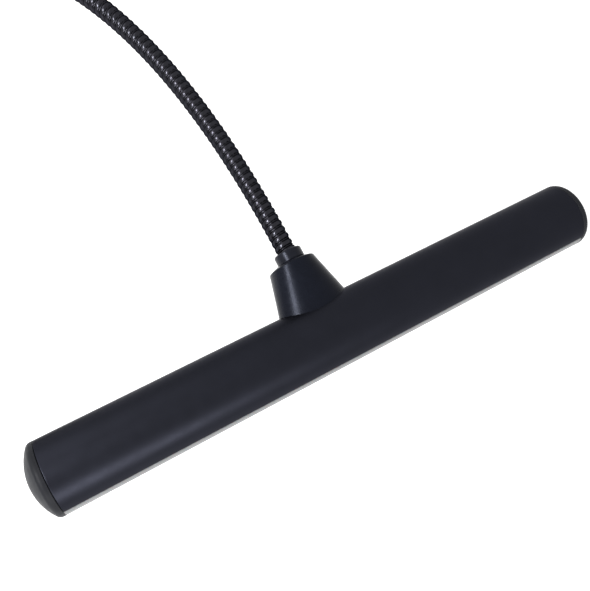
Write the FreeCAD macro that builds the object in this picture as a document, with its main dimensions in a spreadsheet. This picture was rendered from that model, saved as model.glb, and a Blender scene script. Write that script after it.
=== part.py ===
import FreeCAD, Part
import math
import os
import Sketcher
from types import SimpleNamespace

Vector = FreeCAD.Vector

# Every driving size, in millimetres and degrees
SIZES = {
    # middle of the head tube, from the middle of the base's underside
    "head_x": 185.0,
    "head_y": -252.5,
    "head_z": 240.0,
    # head tube: a drawn tube with one long slot for the light
    "tube_d": 33.0,
    "tube_wall": 1.5,
    "tube_len": 274.0,
    "slot_width": 25.0,
    "slot_angle": 154.5,
    # end caps: a straight rim, a low dome, and a plug inside the tube
    "cap_rise": 8.4,
    "cap_rim": 2.6,
    "cap_plug": 8.0,
    "cap_wall": 2.0,
    "cap_crown": 4.4,
    "slide_fit": 0.1,
    # lens bar that fills the slot
    "lens_sink": 0.05,
    "lens_depth": 6.6,
    "lens_side_gap": 0.2,
    # light strip: a heat bar, a board, its diodes and its screws
    "bar_top": 1.0,
    "bar_thick": 2.0,
    "bar_side_gap": 0.3,
    "bar_end_gap": 4.0,
    "board_width": 12.0,
    "board_thick": 1.0,
    "board_end_gap": 5.0,
    "diode_count": 24,
    "diode_side": 3.0,
    "diode_thick": 0.8,
    "board_screw_count": 5,
    "diodes_per_screw": 5,
    "board_screw_d": 2.0,
    "board_screw_head_d": 3.6,
    "board_screw_head": 1.0,
    "plug_block_len": 9.0,
    "plug_block_width": 6.0,
    "plug_block_rise": 4.0,
    "plug_block_x": 40.0,
    # collar between the tube and the neck
    "collar_x": -4.65,
    "collar_top_d": 22.9,
    "collar_foot_len": 38.8,
    "collar_rise": 21.9,
    "collar_saddle": 8.0,
    "collar_roof": 1.6,
    "collar_roof_d": 14.4,
    "collar_wall": 2.2,
    "ring_x": -3.7,
    "ring_d": 13.6,
    "ring_rise": 5.0,
    "ring_edge": 0.7,
    "stud_d": 9.8,
    "stud_bore_d": 5.3,
    "stud_fit": 0.1,
    "stud_tail": 6.5,
    "nut_width": 13.0,
    "nut_thick": 4.0,
    "washer_d": 13.6,
    "washer_thick": 1.0,
    # neck: a ribbed hose in links on balls
    "neck_rise": 227.5,
    "neck_reach": 288.0,
    "rib_d": 9.1,
    "groove_d": 7.9,
    "groove_width": 0.7,
    "rib_slope": 0.35,
    "bore_d": 2.6,
    "joint_count": 10,
    "ribs_per_link": 14,
    "joint_gap": 1.7,
    "socket_grip": 1.2,
    "ball_d": 6.8,
    "ball_fit": 0.05,
    "ball_stem_d": 3.8,
    "spigot_d": 5.2,
    "spigot_bore_d": 3.2,
    "spigot_len": 9.0,
    # base: a shell over a weight, a plate and a pad
    "base_d": 120.0,
    "shell_top": 26.0,
    "shell_foot": 2.0,
    "shell_wall": 2.0,
    "shell_round": 7.0,
    "pad_inset": 6.0,
    "pad_thick": 1.5,
    "plate_gap": 0.3,
    "plate_thick": 2.0,
    "weight_gap": 2.0,
    "weight_thick": 14.0,
    "weight_floor": 2.5,
    "weight_room": 2.0,
    "well_d": 26.0,
    "channel_width": 8.0,
    "screw_inset": 16.0,
    "screw_count": 4,
    "screw_d": 4.0,
    "screw_head_d": 7.2,
    "screw_len": 19.5,
    "thread_fit": 0.05,
    "boss_d": 8.0,
    "boss_gap": 0.3,
    # socket on the base that holds the neck
    "socket_d": 18.0,
    "socket_top": 35.0,
    "socket_edge": 1.6,
    "base_nut_width": 15.0,
    "base_nut_thick": 4.5,
    "base_washer_d": 18.0,
    "tail_past": 1.0,
    # rocker switch in the base
    "switch_inset": 24.0,
    "bezel_len": 21.0,
    "bezel_width": 15.0,
    "bezel_rise": 1.6,
    "switch_len": 19.0,
    "switch_width": 12.8,
    "switch_depth": 12.0,
    "rocker_len": 15.6,
    "rocker_width": 9.6,
    "rocker_thick": 5.0,
    "rocker_dip": 1.6,
    "rocker_tilt": 9.0,
    "rocker_gap": 0.35,
    "rocker_room": 7.2,
    "rocker_pin_d": 2.4,
    "rocker_pin_reach": 1.0,
    "terminal_len": 6.0,
    "terminal_width": 4.8,
    "terminal_thick": 0.8,
    "terminal_pitch": 9.0,
    # power inlet at the back of the base
    "inlet_z": 12.5,
    "inlet_d": 8.0,
    "inlet_flange_d": 11.0,
    "inlet_flange": 1.5,
    "inlet_len": 17.0,
    "inlet_bore_d": 5.6,
    "inlet_bore_len": 9.5,
    "inlet_pin_d": 2.0,
    "inlet_pin_root": 1.0,
    "inlet_nut_width": 11.0,
    "inlet_nut_thick": 2.2,
    # driver board beside the weight's middle
    "driver_inset": 29.0,
    "driver_len": 28.0,
    "driver_width": 22.0,
    "driver_thick": 1.6,
    "driver_post": 3.0,
    "post_d": 3.0,
    "post_inset": 2.5,
    "coil_d": 8.0,
    "coil_rise": 6.0,
    "chip_side": 4.0,
    "chip_rise": 1.4,
}

doc = FreeCAD.newDocument("PianoLamp")
sheet = doc.addObject("Spreadsheet::Sheet", "Sizes")
for row, (alias, number) in enumerate(SIZES.items(), start=1):
    sheet.set(f"A{row}", alias.replace("_", " "))
    sheet.set(f"B{row}", str(number))
    sheet.setAlias(f"B{row}", alias)
doc.recompute()


class Size:
    """A size that knows its number and the formula that gives it in the sheet."""

    def __init__(self, value, text):
        self.value = value
        self.text = text

    def __add__(self, other):
        other = as_size(other)
        return Size(self.value + other.value, f"({self.text} + {other.text})")

    def __sub__(self, other):
        other = as_size(other)
        return Size(self.value - other.value, f"({self.text} - {other.text})")

    def __mul__(self, other):
        other = as_size(other)
        return Size(self.value * other.value, f"({self.text} * {other.text})")

    def __truediv__(self, other):
        other = as_size(other)
        return Size(self.value / other.value, f"({self.text} / {other.text})")

    def __neg__(self):
        return Size(-self.value, f"(0 - {self.text})")

    __radd__ = __add__
    __rmul__ = __mul__

    def __rsub__(self, other):
        return as_size(other) - self


def as_size(number):
    return number if isinstance(number, Size) else Size(float(number), repr(float(number)))


def root(size):
    return Size(math.sqrt(size.value), f"sqrt({size.text})")


s = SimpleNamespace(**{name: Size(float(sheet.get(name)), "Sizes." + name) for name in SIZES})

ALONG_X = FreeCAD.Rotation(Vector(0, 1, 0), 90)
ALONG_LEFT = FreeCAD.Rotation(Vector(0, 1, 0), -90)
ALONG_Y = FreeCAD.Rotation(Vector(1, 0, 0), -90)
ALONG_Z = FreeCAD.Rotation()

nodes = {}


def bind(obj, **sizes):
    """Tie properties of an object to formulas of the sheet."""
    for prop, size in sizes.items():
        obj.setExpression(prop, as_size(size).text)
    return obj


def put(obj, at, turn=ALONG_Z):
    obj.Placement = FreeCAD.Placement(Vector(), turn)
    for axis, size in zip("xyz", at):
        obj.setExpression("Placement.Base." + axis, as_size(size).text)
    return obj


def rod(radius, length, at=(0, 0, 0), turn=ALONG_Z):
    obj = doc.addObject("Part::Cylinder", "Rod")
    return put(bind(obj, Radius=radius, Height=length), at, turn)


def cone(foot, top, length, at=(0, 0, 0), turn=ALONG_Z):
    obj = doc.addObject("Part::Cone", "Cone")
    return put(bind(obj, Radius1=foot, Radius2=top, Height=length), at, turn)


def block(x, y, z, middle=(0, 0), low=0):
    """A box whose footprint is centred on middle and whose underside is at low."""
    obj = doc.addObject("Part::Box", "Block")
    bind(obj, Length=x, Width=y, Height=z)
    return put(obj, (middle[0] - as_size(x) / 2, middle[1] - as_size(y) / 2, low))


def hexagon(width, length, at=(0, 0, 0), turn=ALONG_Z):
    """A six-sided bar, width across its flats."""
    obj = doc.addObject("Part::Prism", "Hexagon")
    obj.Polygon = 6
    return put(bind(obj, Circumradius=as_size(width) / math.sqrt(3), Height=length), at, turn)


def joined(*parts):
    obj = doc.addObject("Part::MultiFuse", "Joined")
    obj.Shapes = list(parts)
    return obj


def grouped(*parts):
    """Separate solids that share one node."""
    obj = doc.addObject("Part::Compound", "Group")
    obj.Links = list(parts)
    return obj


def shared(*parts):
    obj = doc.addObject("Part::MultiCommon", "Shared")
    obj.Shapes = list(parts)
    return obj


def cut(base, *tools):
    obj = doc.addObject("Part::Cut", "Cut")
    obj.Base = base
    obj.Tool = tools[0] if len(tools) == 1 else joined(*tools)
    return obj


def own_plane(body, role):
    return next(part for part in body.Origin.OriginFeatures if part.Role == role)


def pin_corner(sketch, line, point, size_x, size_y):
    """Hold one corner of a sketch at its two sizes from the sketch's origin."""
    for kind, size, axis in (("DistanceX", size_x, -2), ("DistanceY", size_y, -1)):
        size = as_size(size)
        if abs(size.value) < 1e-9:
            sketch.addConstraint(Sketcher.Constraint("PointOnObject", line, point, axis))
            continue
        index = sketch.addConstraint(Sketcher.Constraint(kind, -1, 1, line, point, size.value))
        sketch.setExpression(f"Constraints[{index}]", size.text)


def turned(name, corners):
    """A body turned about its Z axis from an outline of (radius, height) corners."""
    body = doc.addObject("PartDesign::Body", name)
    sketch = body.newObject("Sketcher::SketchObject", name + "_outline")
    sketch.AttachmentSupport = (own_plane(body, "XZ_Plane"), [""])
    sketch.MapMode = "FlatFace"
    draw(sketch, corners)
    solid = body.newObject("PartDesign::Revolution", name + "_turned")
    solid.Profile = sketch
    solid.ReferenceAxis = (sketch, ["V_Axis"])
    solid.Angle = 360
    body.Tip = solid
    return body


def padded(name, corners, length, holes=()):
    """A body drawn in the XY plane and raised along Z; a hole is (x, y, radius)."""
    body = doc.addObject("PartDesign::Body", name)
    sketch = body.newObject("Sketcher::SketchObject", name + "_outline")
    sketch.AttachmentSupport = (own_plane(body, "XY_Plane"), [""])
    sketch.MapMode = "FlatFace"
    draw(sketch, corners)
    for x, y, radius in holes:
        centre = Vector(as_size(x).value, as_size(y).value, 0)
        line = sketch.addGeometry(Part.Circle(centre, Vector(0, 0, 1), as_size(radius).value), False)
        pin_corner(sketch, line, 3, x, y)
        index = sketch.addConstraint(Sketcher.Constraint("Radius", line, as_size(radius).value))
        sketch.setExpression(f"Constraints[{index}]", as_size(radius).text)
    solid = body.newObject("PartDesign::Pad", name + "_raised")
    solid.Profile = sketch
    solid.setExpression("Length", as_size(length).text)
    body.Tip = solid
    return body


def draw(sketch, corners):
    """Draw and constrain a closed outline, counter-clockwise or clockwise.

    A corner is (x, y), or (x, y, radius) where an arc of that radius runs to the next corner.
    """
    points = [Vector(as_size(c[0]).value, as_size(c[1]).value, 0) for c in corners]
    count = len(corners)
    ends = []
    for i, corner in enumerate(corners):
        start, end = points[i], points[(i + 1) % count]
        if len(corner) == 2:
            sketch.addGeometry(Part.LineSegment(start, end), False)
            ends.append((1, 2))
            continue
        radius = as_size(corner[2]).value
        half = (end - start) * 0.5
        across = Vector(-half.y, half.x, 0).normalize()
        centre = start + half + across * math.sqrt(radius ** 2 - half.Length ** 2)
        angles = [math.atan2(p.y - centre.y, p.x - centre.x) for p in (start, end)]
        circle = Part.Circle(centre, Vector(0, 0, 1), radius)
        sketch.addGeometry(Part.ArcOfCircle(circle, angles[0], angles[1]), False)
        ends.append((1, 2))
        index = sketch.addConstraint(Sketcher.Constraint("Radius", i, radius))
        sketch.setExpression(f"Constraints[{index}]", as_size(corner[2]).text)
    for i, corner in enumerate(corners):
        before = (i - 1) % count
        sketch.addConstraint(Sketcher.Constraint("Coincident", before, ends[before][1], i, ends[i][0]))
        pin_corner(sketch, i, ends[i][0], corner[0], corner[1])


HEAD = (s.head_x, s.head_y, s.head_z)
BASE = (0, 0, 0)
COLLAR_FOOT = s.tube_d / 2 - s.collar_saddle
COLLAR_TOP = s.tube_d / 2 + s.collar_rise
SWITCH_Y = s.switch_inset - s.base_d / 2
DRIVER_X = s.driver_inset - s.base_d / 2


def node(label, obj, origin=BASE, turn=ALONG_Z):
    """Name a finished piece and put it in its place on the lamp."""
    put(obj, origin, turn)
    obj.Label = label
    nodes[label] = obj
    return obj


def at_head(x=0, y=0, z=0):
    return (s.head_x + x, s.head_y + y, s.head_z + z)


def slot_node(label, obj):
    """Place a piece that is drawn with the slot facing down, turned to the slot's real direction."""
    node(label, obj, HEAD)
    obj.Placement = FreeCAD.Placement(obj.Placement.Base, FreeCAD.Rotation(Vector(1, 0, 0), 1))
    obj.setExpression("Placement.Rotation.Angle", (90 - s.slot_angle).text)
    return obj


def head_tube():
    body = doc.addObject("PartDesign::Body", "head_tube")
    ring = body.newObject("Sketcher::SketchObject", "tube_section")
    ring.AttachmentSupport = (own_plane(body, "YZ_Plane"), [""])
    ring.MapMode = "FlatFace"
    for radius in (s.tube_d / 2, s.tube_d / 2 - s.tube_wall):
        circle = ring.addGeometry(Part.Circle(Vector(), Vector(0, 0, 1), radius.value), False)
        ring.addConstraint(Sketcher.Constraint("Coincident", circle, 3, -1, 1))
        index = ring.addConstraint(Sketcher.Constraint("Radius", circle, radius.value))
        ring.setExpression(f"Constraints[{index}]", radius.text)
    tube = body.newObject("PartDesign::Pad", "tube_drawn")
    tube.Profile = ring
    tube.Midplane = True
    tube.setExpression("Length", s.tube_len.text)
    body.Tip = tube
    slot = block(s.tube_len * 2, s.slot_width, s.tube_d, low=-s.tube_d)
    stud_hole = rod(s.stud_d / 2 + s.stud_fit, s.tube_d, (s.ring_x, 0, 0), ALONG_Y)
    slot_turn = doc.addObject("Part::Compound", "SlotCutter")
    slot_turn.Links = [slot]
    slot_turn.Placement = FreeCAD.Placement(Vector(), FreeCAD.Rotation(Vector(1, 0, 0), 1))
    slot_turn.setExpression("Placement.Rotation.Angle", (90 - s.slot_angle).text)
    node("head_tube", cut(body, slot_turn, stud_hole), HEAD)


def end_caps():
    rim = s.tube_d / 2
    plug = rim - s.tube_wall - s.slide_fit
    rise = s.cap_rise
    # the dome is one arc through its top and the rim's edge
    dome = (rim * rim + (rise - s.cap_rim) * (rise - s.cap_rim)) / ((rise - s.cap_rim) * 2)
    corners = [
        (0, rise - s.cap_crown),
        (plug - s.cap_wall, 0),
        (plug - s.cap_wall, -s.cap_plug),
        (plug, -s.cap_plug),
        (plug, 0),
        (rim, 0),
        (rim, s.cap_rim, dome),
        (0, rise),
    ]
    lens_room = s.lens_depth - s.lens_side_gap
    for label, side, turn in (("end_cap_right", 1, ALONG_X), ("end_cap_left", -1, ALONG_LEFT)):
        body = turned(label + "_body", corners)
        put(body, (0, 0, 0), turn)
        notch = block(s.cap_plug * 2, s.tube_d, s.tube_d, low=-s.tube_d - lens_room)
        shifted = doc.addObject("Part::Compound", "PlugNotch")
        shifted.Links = [notch]
        put(shifted, (-side * s.cap_plug, 0, 0), FreeCAD.Rotation(Vector(1, 0, 0), 1))
        shifted.setExpression("Placement.Rotation.Angle", (90 - s.slot_angle).text)
        node(label, cut(body, shifted), at_head(x=side * s.tube_len / 2))


def lens_bar():
    inner = s.tube_d / 2 - s.tube_wall - s.slide_fit
    face = rod(s.tube_d / 2 - s.lens_sink, s.tube_len, (-s.tube_len / 2, 0, 0), ALONG_X)
    throat = block(s.tube_len, s.slot_width - s.lens_side_gap * 2, s.tube_d / 2, low=-s.tube_d / 2)
    seat = rod(inner, s.tube_len, (-s.tube_len / 2, 0, 0), ALONG_X)
    foot = block(s.tube_len, s.tube_d, s.tube_d, low=-s.tube_d - s.lens_depth)
    slot_node("slot_lens", shared(joined(shared(face, throat), seat), foot))


def spread(count, length):
    """Middles of count equal shares of a length, about zero."""
    return [length * ((i + 0.5) / count - 0.5) for i in range(count)]


def light_strip():
    bar_low = s.bar_top + s.bar_thick
    board_low = bar_low + s.board_thick
    screw_r = s.board_screw_d / 2
    inner = s.tube_d / 2 - s.tube_wall
    bar_width = (root(inner * inner - bar_low * bar_low) - s.bar_side_gap) * 2
    bar_len = s.tube_len - s.cap_plug * 2 - s.bar_end_gap * 2
    board_len = bar_len - s.board_end_gap * 2
    diodes, bolts = int(s.diode_count.value), int(s.board_screw_count.value)
    # the screws stand halfway between two diodes
    screw_pitch = board_len / s.diode_count * s.diodes_per_screw
    screws = spread(bolts, screw_pitch * bolts)
    holes = [rod(screw_r + s.thread_fit, board_low * 2, (x, 0, -board_low * 2)) for x in screws]
    hole_group = joined(*holes)
    bar = block(bar_len, bar_width, s.bar_thick, low=-bar_low)
    slot_node("led_bar", cut(bar, hole_group))
    board = block(board_len, s.board_width, s.board_thick, low=-board_low)
    slot_node("led_board", cut(board, hole_group))
    diode_low = board_low + s.diode_thick
    chips = [block(s.diode_side, s.diode_side, s.diode_thick, (x, 0), -diode_low)
              for x in spread(diodes, board_len)]
    slot_node("leds", grouped(*chips))
    screw_solids = []
    for x in screws:
        shank = rod(screw_r, s.board_thick + s.bar_thick, (x, 0, -board_low))
        head = rod(s.board_screw_head_d / 2, s.board_screw_head, (x, 0, -board_low - s.board_screw_head))
        screw_solids.append(joined(shank, head))
    slot_node("board_screws", grouped(*screw_solids))
    plug = block(s.plug_block_len, s.plug_block_width, s.plug_block_rise, (s.plug_block_x, 0), -s.bar_top)
    slot_node("lead_connector", grouped(plug))


def collar():
    """A round top that flares along the tube, under a low roof, saddled on the tube."""
    radius = s.collar_top_d / 2
    height = COLLAR_TOP - COLLAR_FOOT
    shoulder = height - s.collar_roof
    foot = doc.addObject("Part::Ellipse", "CollarFoot")
    bind(foot, MajorRadius=s.collar_foot_len / 2, MinorRadius=radius)
    put(foot, BASE, ALONG_Y)
    rim = doc.addObject("Part::Circle", "CollarRim")
    bind(rim, Radius=radius)
    put(rim, (0, shoulder, 0), ALONG_Y)
    flare = doc.addObject("Part::Loft", "CollarFlare")
    flare.Sections = [foot, rim]
    flare.Solid = True
    flare.Ruled = True
    roof = cone(radius, s.collar_roof_d / 2, s.collar_roof, (0, shoulder, 0), ALONG_Y)
    hollow = rod(radius - s.collar_wall, shoulder - s.collar_wall, turn=ALONG_Y)
    stud = rod(s.stud_d / 2 + s.stud_fit, height * 2, (s.ring_x - s.collar_x, 0, 0), ALONG_Y)
    tube = rod(s.tube_d / 2, s.tube_len, (-s.tube_len / 2, -COLLAR_FOOT, 0), ALONG_X)
    node("collar", cut(joined(flare, roof), hollow, stud, tube), at_head(s.collar_x, COLLAR_FOOT))


def collar_ring():
    radius, bore = s.ring_d / 2, s.stud_d / 2 + s.stud_fit
    corners = [
        (bore, 0),
        (radius, 0),
        (radius, s.ring_rise - s.ring_edge),
        (radius - s.ring_edge, s.ring_rise),
        (bore, s.ring_rise),
    ]
    node("collar_ring", turned("collar_ring_body", corners), at_head(s.ring_x, COLLAR_TOP), ALONG_Y)


def head_stud():
    """The threaded tube that clamps collar and head tube, with its washer and nut."""
    radius, bore = s.stud_d / 2, s.stud_bore_d / 2
    inner = s.tube_d / 2 - s.tube_wall
    washer_r = s.washer_d / 2
    washer_top = root(inner * inner - washer_r * washer_r) - s.slide_fit
    nut_top = washer_top - s.washer_thick
    nut_low = nut_top - s.nut_thick
    length = COLLAR_TOP + s.ring_rise - s.stud_tail
    stud = cut(rod(radius, length, turn=ALONG_Y), rod(bore, length, turn=ALONG_Y))
    node("neck_stud", stud, at_head(s.ring_x, s.stud_tail))
    washer = cut(rod(washer_r, s.washer_thick, turn=ALONG_Y),
                 rod(radius + s.stud_fit, s.washer_thick, turn=ALONG_Y))
    node("stud_washer", washer, at_head(s.ring_x, nut_top))
    nut = cut(hexagon(s.nut_width, s.nut_thick, turn=ALONG_Y),
              rod(radius + s.thread_fit, s.nut_thick, turn=ALONG_Y))
    node("stud_nut", nut, at_head(s.ring_x, nut_low))


class NeckCurve:
    """The neck's centre line: a cubic curve from the base, up, over and into the collar."""

    def __init__(self):
        tip = Vector(s.head_x.value + s.ring_x.value,
                     s.head_y.value + COLLAR_TOP.value + s.ring_rise.value,
                     s.head_z.value)
        foot = Vector(0, 0, s.socket_top.value)
        self.poles = [
            foot,
            foot + Vector(0, 0, s.neck_rise.value),
            tip + Vector(0, s.neck_reach.value, 0),
            tip,
        ]
        self.side = Vector(-tip.y, tip.x, 0).normalize()
        steps = 4000
        self.lengths = [0.0]
        before = self.point_at(0)
        for i in range(1, steps + 1):
            point = self.point_at(i / steps)
            self.lengths.append(self.lengths[-1] + (point - before).Length)
            before = point
        self.length = self.lengths[-1]

    def point_at(self, part):
        rest = 1 - part
        a, b, c, d = self.poles
        return (a * rest ** 3 + b * (3 * rest ** 2 * part) + c * (3 * rest * part ** 2) + d * part ** 3)

    def heading_at(self, part):
        rest = 1 - part
        a, b, c, d = self.poles
        way = (b - a) * rest ** 2 + (c - b) * (2 * rest * part) + (d - c) * part ** 2
        return way.normalize()

    def station(self, along):
        """The placement at a length along the neck: Z runs on, X stays to the side."""
        steps = len(self.lengths) - 1
        low, high = 0, steps
        while high - low > 1:
            middle = (low + high) // 2
            if self.lengths[middle] <= along:
                low = middle
            else:
                high = middle
        share = (along - self.lengths[low]) / (self.lengths[high] - self.lengths[low])
        part = (low + share) / steps
        turn = FreeCAD.Rotation(self.side, Vector(), self.heading_at(part), "ZXY")
        return FreeCAD.Placement(self.point_at(part), turn)


def ring_at(curve, along, radius):
    wire = Part.Wire(Part.Circle(Vector(), Vector(0, 0, 1), radius).toShape())
    wire.Placement = curve.station(along)
    return wire


def neck_link(curve, first, last, pitch, low_joint, high_joint):
    """Ribs first to last of the hose, a socket at its low end and a ball at its high end."""
    gap, groove = s.joint_gap.value / 2, s.groove_width.value / 2
    crest, floor, slope = s.rib_d.value / 2, s.groove_d.value / 2, s.rib_slope.value
    rings = []
    for rib in range(first, last):
        low = rib * pitch
        if rib > first:
            low += groove
        elif low_joint:
            low += gap
        high = (rib + 1) * pitch
        if rib < last - 1:
            high -= groove
        elif high_joint:
            high -= gap
        for along, radius in ((low, floor), (low + slope, crest), (high - slope, crest), (high, floor)):
            rings.append(ring_at(curve, along, radius))
    link = Part.makeLoft(rings, True, True)
    to_ball = gap + s.socket_grip.value
    ball = s.ball_d.value / 2
    stem = s.ball_stem_d.value / 2
    low_end, high_end = first * pitch, last * pitch
    if high_joint:
        middle = curve.station(high_end + to_ball)
        face = curve.station(high_end - gap)
        shaft = Part.makeCylinder(stem, (middle.Base - face.Base).Length, Vector(), Vector(0, 0, 1))
        shaft.Placement = FreeCAD.Placement(face.Base, middle.Rotation)
        link = link.fuse([Part.makeSphere(ball, middle.Base), shaft])
    if low_joint:
        middle = curve.station(low_end + to_ball)
        link = link.cut(Part.makeSphere(ball + s.ball_fit.value, middle.Base))
    past = s.bore_d.value / 2
    low = low_end - past if low_joint else 0
    high = high_end + to_ball + ball + past if high_joint else curve.length
    return bored(curve, link, low, high)


def bored(curve, link, low, high):
    """Cut the hose's bore through a link."""
    count = int((high - low) / s.rib_d.value) + 1
    rings = [ring_at(curve, low + (high - low) * i / count, s.bore_d.value / 2) for i in range(count + 1)]
    return link.cut(Part.makeLoft(rings, True, False))


def spigot(link, end, outward):
    """Add the straight end that sits in the threaded tube, a little wider inside than the hose."""
    foot = end + outward * s.spigot_len.value
    length = s.spigot_len.value
    solid = Part.makeCylinder(s.spigot_d.value / 2, length, foot, outward * -1)
    bore = Part.makeCylinder(s.spigot_bore_d.value / 2, length, foot, outward * -1)
    return link.fuse(solid.cut(bore))


def neck():
    curve = NeckCurve()
    joints = int(s.joint_count.value)
    ribs = int(s.ribs_per_link.value)
    total = joints * ribs
    pitch = curve.length / total
    print(f"neck: {curve.length:.1f} mm long, {total} ribs, pitch {pitch:.3f} mm")
    marks = [0] + [ribs // 2 + ribs * i for i in range(joints)] + [total]
    for i in range(joints + 1):
        low_joint, high_joint = i > 0, i < joints
        link = neck_link(curve, marks[i], marks[i + 1], pitch, low_joint, high_joint)
        if not low_joint:
            link = spigot(link, curve.poles[0], Vector(0, 0, -1))
        if not high_joint:
            link = spigot(link, curve.poles[3], Vector(0, -1, 0))
        label = "neck_foot" if not low_joint else "neck_tip" if not high_joint else f"neck_link_{i}"
        obj = doc.addObject("Part::Feature", label)
        obj.Shape = link
        obj.Label = label
        nodes[label] = obj


def around(radius, count):
    """Places evenly round the base, starting halfway between its front and its right."""
    turns = [math.radians(360 * (i + 0.5) / count) for i in range(count)]
    return [(radius * math.cos(turn), radius * math.sin(turn)) for turn in turns]


def base_shell():
    radius, wall, curve = s.base_d / 2, s.shell_wall, s.shell_round
    foot, top = s.shell_foot, s.shell_top
    bore = s.stud_d / 2 + s.stud_fit
    corners = [
        (radius, foot),
        (radius, top - curve, curve),
        (radius - curve, top),
        (bore, top),
        (bore, top - wall),
        (radius - curve, top - wall),
        (radius - wall, top - curve),
        (radius - wall, foot),
    ]
    shell = turned("base_shell_body", corners)
    boss_low = s.pad_thick + s.plate_thick + s.weight_thick + s.boss_gap
    bosses = [rod(s.boss_d / 2, top - wall / 2 - boss_low, (x, y, boss_low)) for x, y in screw_spots()]
    threads = [rod(s.screw_d / 2 + s.thread_fit, s.screw_len + s.boss_gap, (x, y, s.pad_thick))
               for x, y in screw_spots()]
    switch_hole = block(s.switch_width + s.slide_fit * 2, s.switch_len + s.slide_fit * 2, wall * 3,
                        (0, SWITCH_Y), top - wall * 2)
    inlet_hole = rod(s.inlet_d / 2 + s.slide_fit, radius / 2, (0, radius - radius / 4, s.inlet_z), ALONG_Y)
    node("base_shell", cut(joined(shell, *bosses), switch_hole, inlet_hole, *threads))


def screw_spots():
    return around(s.base_d / 2 - s.screw_inset, int(s.screw_count.value))


def base_bottom():
    """The soft pad, the steel plate, the weight and the screws that pull them to the shell."""
    outer = s.base_d / 2
    node("foot_pad", grouped(rod(outer - s.pad_inset, s.pad_thick)))
    plate_low = s.pad_thick
    weight_low = plate_low + s.plate_thick
    shank = s.screw_d / 2
    head = s.screw_head_d / 2
    plate = rod(outer - s.shell_wall - s.plate_gap, s.plate_thick, (0, 0, plate_low))
    plate_tools = [cone(head, shank, s.plate_thick, (x, y, plate_low)) for x, y in screw_spots()]
    node("bottom_plate", cut(plate, *plate_tools))
    screws = []
    for x, y in screw_spots():
        screws.append(joined(cone(head, shank, s.plate_thick, (x, y, plate_low)),
                             rod(shank, s.screw_len, (x, y, plate_low))))
    node("base_screws", grouped(*screws))
    floor = weight_low + s.weight_floor
    deep = s.weight_thick * 2
    tools = [rod(shank + s.slide_fit, deep, (x, y, weight_low - s.weight_floor)) for x, y in screw_spots()]
    tools.append(rod(s.well_d / 2, deep, (0, 0, floor)))
    room = s.weight_room
    tools.append(block(s.bezel_width + room, s.bezel_len + room, deep, (0, SWITCH_Y), floor))
    inlet_front = outer - s.inlet_len - room
    tools.append(block(s.inlet_flange_d + room * 2, s.base_d, deep, (0, inlet_front + outer), floor))
    tools.append(block(s.driver_len + room, s.driver_width + room, deep, (DRIVER_X, 0), floor))
    tools.append(block(s.channel_width, -SWITCH_Y * 2, deep, (0, 0), floor))
    tools.append(block(s.well_d, s.channel_width, deep, (-s.well_d / 2, 0), floor))
    weight = rod(outer - s.shell_wall - s.weight_gap, s.weight_thick, (0, 0, weight_low))
    node("base_weight", cut(weight, *tools))


def neck_socket():
    """The turned socket on the base, its threaded tail, washer and nut."""
    radius, edge = s.socket_d / 2, s.socket_edge
    tail, bore = s.stud_d / 2, s.stud_bore_d / 2
    washer_low = s.shell_top - s.shell_wall - s.washer_thick
    nut_low = washer_low - s.base_nut_thick
    tail_low = nut_low - s.tail_past
    corners = [
        (bore, tail_low),
        (tail, tail_low),
        (tail, s.shell_top),
        (radius, s.shell_top),
        (radius, s.socket_top - edge * 2),
        (radius - edge, s.socket_top),
        (bore, s.socket_top),
    ]
    node("neck_socket", turned("neck_socket_body", corners))
    washer = cut(rod(s.base_washer_d / 2, s.washer_thick), rod(tail + s.stud_fit, s.washer_thick))
    node("socket_washer", washer, (0, 0, washer_low))
    nut = cut(hexagon(s.base_nut_width, s.base_nut_thick), rod(tail + s.thread_fit, s.base_nut_thick))
    node("socket_nut", nut, (0, 0, nut_low))


def rocker_switch():
    top = s.shell_top
    pivot = top + s.bezel_rise / 2
    bezel = block(s.bezel_width, s.bezel_len, s.bezel_rise, low=top)
    body = block(s.switch_width, s.switch_len, s.switch_depth, low=top - s.switch_depth)
    reach = root(s.rocker_len * s.rocker_len / 4 + s.rocker_thick * s.rocker_thick)
    room = block(s.rocker_width + s.rocker_gap * 2, (reach + s.rocker_gap) * 2, s.switch_depth,
                 low=top - s.rocker_room)
    pin = s.rocker_pin_d / 2
    pin_reach = s.rocker_width / 2 + s.rocker_pin_reach
    pin_hole = rod(pin + s.thread_fit, pin_reach * 2 + s.rocker_gap,
                   (-pin_reach - s.rocker_gap / 2, 0, pivot - s.rocker_thick / 2), ALONG_X)
    node("switch_body", cut(joined(bezel, body), room, pin_hole), (0, SWITCH_Y, 0))
    half = s.rocker_len / 2
    low = -s.rocker_thick / 2
    high = s.rocker_thick / 2 + s.bezel_rise
    corners = [(-half, low), (half, low), (half, high), (0, high - s.rocker_dip), (-half, high)]
    button = padded("rocker_profile", corners, s.rocker_width)
    crosswise = FreeCAD.Rotation(Vector(0, 1, 0), Vector(0, 0, 1), Vector(1, 0, 0), "ZXY")
    put(button, (-s.rocker_width / 2, 0, 0), crosswise)
    pins = rod(pin, pin_reach * 2, (-pin_reach, 0, 0), ALONG_X)
    rocker = joined(button, pins)
    node("rocker_button", rocker, (0, SWITCH_Y, pivot - s.rocker_thick / 2))
    rocker.Placement = FreeCAD.Placement(rocker.Placement.Base, FreeCAD.Rotation(Vector(1, 0, 0), 1))
    rocker.setExpression("Placement.Rotation.Angle", (-s.rocker_tilt).text)
    blade_low = top - s.switch_depth - s.terminal_len
    blades = [block(s.terminal_thick, s.terminal_width, s.terminal_len,
                    (0, SWITCH_Y + side * s.terminal_pitch / 2), blade_low) for side in (-1, 1)]
    node("switch_terminals", grouped(*blades))


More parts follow.
